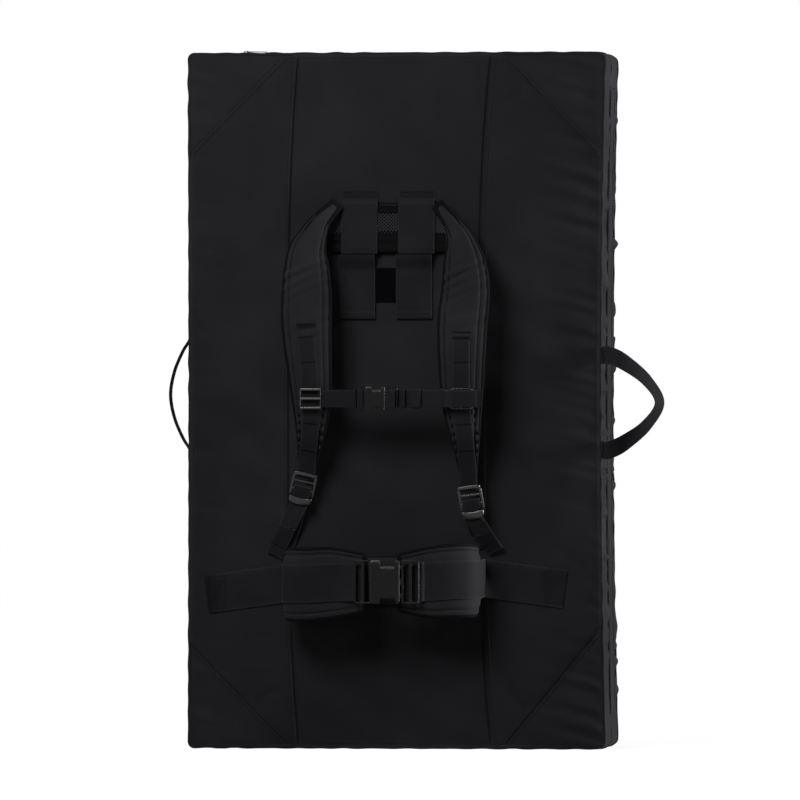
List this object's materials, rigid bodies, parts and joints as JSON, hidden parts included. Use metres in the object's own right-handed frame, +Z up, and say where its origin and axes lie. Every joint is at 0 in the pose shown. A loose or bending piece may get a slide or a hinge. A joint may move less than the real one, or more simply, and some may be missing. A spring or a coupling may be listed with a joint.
{
  "type": "bouldering crash pad",
  "caption": "Folding foam crash pad in a sewn fabric cover, closed and standing on edge, with padded shoulder straps, sternum strap and hip belt on its carry face.",
  "frame": {"origin": "middle of the harness half's standing edge, on the floor", "axes": "+Z up along the pad's height, +X to the right when facing the harness (the fold is at +X), +Y from the harness half to the far half"},
  "size_m": [0.7199, 0.3203, 1.0024],
  "materials": {
    "pad_nylon": "coated plain-weave nylon, soft matte",
    "patch_nylon": "heavier plain-weave nylon, soft matte",
    "landing_nylon": "plain-weave nylon, matte",
    "band_nylon": "coated nylon with a slight sheen",
    "closed_cell_foam": "closed-cell polyethylene foam, matte",
    "open_cell_foam": "open-cell polyurethane foam, matte",
    "webbing": "ribbed woven nylon webbing",
    "strap_cloth": "padded plain-weave nylon",
    "spacer_mesh": "knitted spacer mesh",
    "hook_and_loop": "deep matte nap",
    "acetal": "moulded acetal, fine texture",
    "zip_metal": "blackened zinc, satin"
  },
  "bodies": {
    "root": {"near_carry_panel": "pad_nylon", "near_side_band": "band_nylon", "near_landing_panel": "landing_nylon", "near_landing_foam": "closed_cell_foam", "near_core_foam": "open_cell_foam", "near_base_foam": "closed_cell_foam", "near_zip_tape": "webbing", "corner_patch_top_left": "patch_nylon", "corner_patch_top_right": "patch_nylon", "corner_patch_bottom_left": "patch_nylon", "corner_patch_bottom_right": "patch_nylon", "left_handle": "webbing", "yoke_pad": "strap_cloth", "yoke_mesh": "spacer_mesh", "height_strap_left": "webbing", "height_strap_right": "webbing", "loop_patch": "hook_and_loop", "lumbar_pad": "strap_cloth"},
    "near_zip_pull": {"near_zip_slider": "zip_metal"},
    "far_half": {"far_carry_panel": "pad_nylon", "far_side_band": "band_nylon", "far_landing_panel": "landing_nylon", "far_landing_foam": "closed_cell_foam", "far_core_foam": "open_cell_foam", "far_base_foam": "closed_cell_foam", "far_zip_tape": "webbing", "hinge_strip": "band_nylon", "closure_loop_top": "hook_and_loop", "closure_loop_bottom": "hook_and_loop"},
    "far_zip_pull": {"far_zip_slider": "zip_metal"},
    "closure_top": {"closure_flap_top": "pad_nylon", "closure_hook_top": "hook_and_loop"},
    "closure_bottom": {"closure_flap_bottom": "pad_nylon", "closure_hook_bottom": "hook_and_loop"},
    "right_grip": {"right_handle": "webbing"},
    "height_flap_pull_left": {"height_flap_left": "webbing"},
    "height_flap_pull_right": {"height_flap_right": "webbing"},
    "harness": {"shoulder_strap_left": "strap_cloth", "shoulder_strap_right": "strap_cloth", "daisy_webbing_left": "webbing", "daisy_webbing_right": "webbing", "ladder_lock_left": "acetal", "ladder_lock_right": "acetal", "adjuster_webbing_left": "webbing", "adjuster_webbing_right": "webbing"},
    "sternum_strap": {"sternum_slider_left": "acetal", "sternum_slider_right": "acetal", "sternum_webbing_left": "webbing", "sternum_webbing_right": "webbing", "sternum_buckle_female": "acetal"},
    "sternum_release": {"sternum_buckle_male": "acetal"},
    "hip_belt": {"hip_wing_left": "strap_cloth", "hip_wing_right": "strap_cloth", "belt_webbing_left": "webbing", "belt_webbing_right": "webbing", "waist_buckle_female": "acetal"},
    "waist_release": {"waist_buckle_male": "acetal"}
  },
  "joints": [
    {"name": "fold", "type": "hinge", "parent": "root", "child": "far_half", "pos_m": [0.3085, 0.05015, 0.5], "axis": [0, 0, -1], "range_deg": [0, 180], "deforming": ["hinge_strip"]},
    {"name": "closure_top_peel", "type": "hinge", "parent": "root", "child": "closure_top", "pos_m": [-0.3037, 0.0035, 0.912], "axis": [0, 0, 1], "range_deg": [0, 160]},
    {"name": "closure_bottom_peel", "type": "hinge", "parent": "root", "child": "closure_bottom", "pos_m": [-0.3037, 0.0035, 0.088], "axis": [0, 0, 1], "range_deg": [0, 160]},
    {"name": "near_zip_slide", "type": "slide", "parent": "root", "child": "near_zip_pull", "axis": [1, 0, 0], "range_m": [0, 0.42]},
    {"name": "far_zip_slide", "type": "slide", "parent": "far_half", "child": "far_zip_pull", "axis": [1, 0, 0], "range_m": [0, 0.42]},
    {"name": "right_grip_swing", "type": "hinge", "parent": "root", "child": "right_grip", "pos_m": [0.2936, -0.053, 0.497], "axis": [0, 0, -1], "range_deg": [-30, 130]},
    {"name": "height_flap_left_peel", "type": "hinge", "parent": "root", "child": "height_flap_pull_left", "pos_m": [-0.01, -0.0747, 0.7105], "axis": [-1, 0, 0], "range_deg": [0, 90]},
    {"name": "height_flap_right_peel", "type": "hinge", "parent": "root", "child": "height_flap_pull_right", "pos_m": [-0.01, -0.0747, 0.7105], "axis": [-1, 0, 0], "range_deg": [0, 90]},
    {"name": "harness_swing", "type": "hinge", "parent": "root", "child": "harness", "pos_m": [-0.01, -0.076, 0.778], "axis": [-1, 0, 0], "range_deg": [0, 20], "deforming": ["adjuster_webbing_left", "adjuster_webbing_right"]},
    {"name": "sternum_slide", "type": "slide", "parent": "harness", "child": "sternum_strap", "axis": [0, 0, 1], "range_m": [-0.012, 0.012]},
    {"name": "sternum_release_slide", "type": "slide", "parent": "sternum_strap", "child": "sternum_release", "axis": [1, 0, 0], "range_m": [0, 0.025], "deforming": ["sternum_webbing_right"]},
    {"name": "hip_belt_swing", "type": "hinge", "parent": "root", "child": "hip_belt", "pos_m": [-0.01, -0.066, 0.2415], "axis": [-1, 0, 0], "range_deg": [0, 15], "deforming": ["belt_webbing_left", "belt_webbing_right"]},
    {"name": "waist_release_slide", "type": "slide", "parent": "hip_belt", "child": "waist_release", "axis": [1, 0, 0], "range_m": [0, 0.045], "deforming": ["belt_webbing_right"]}
  ]
}
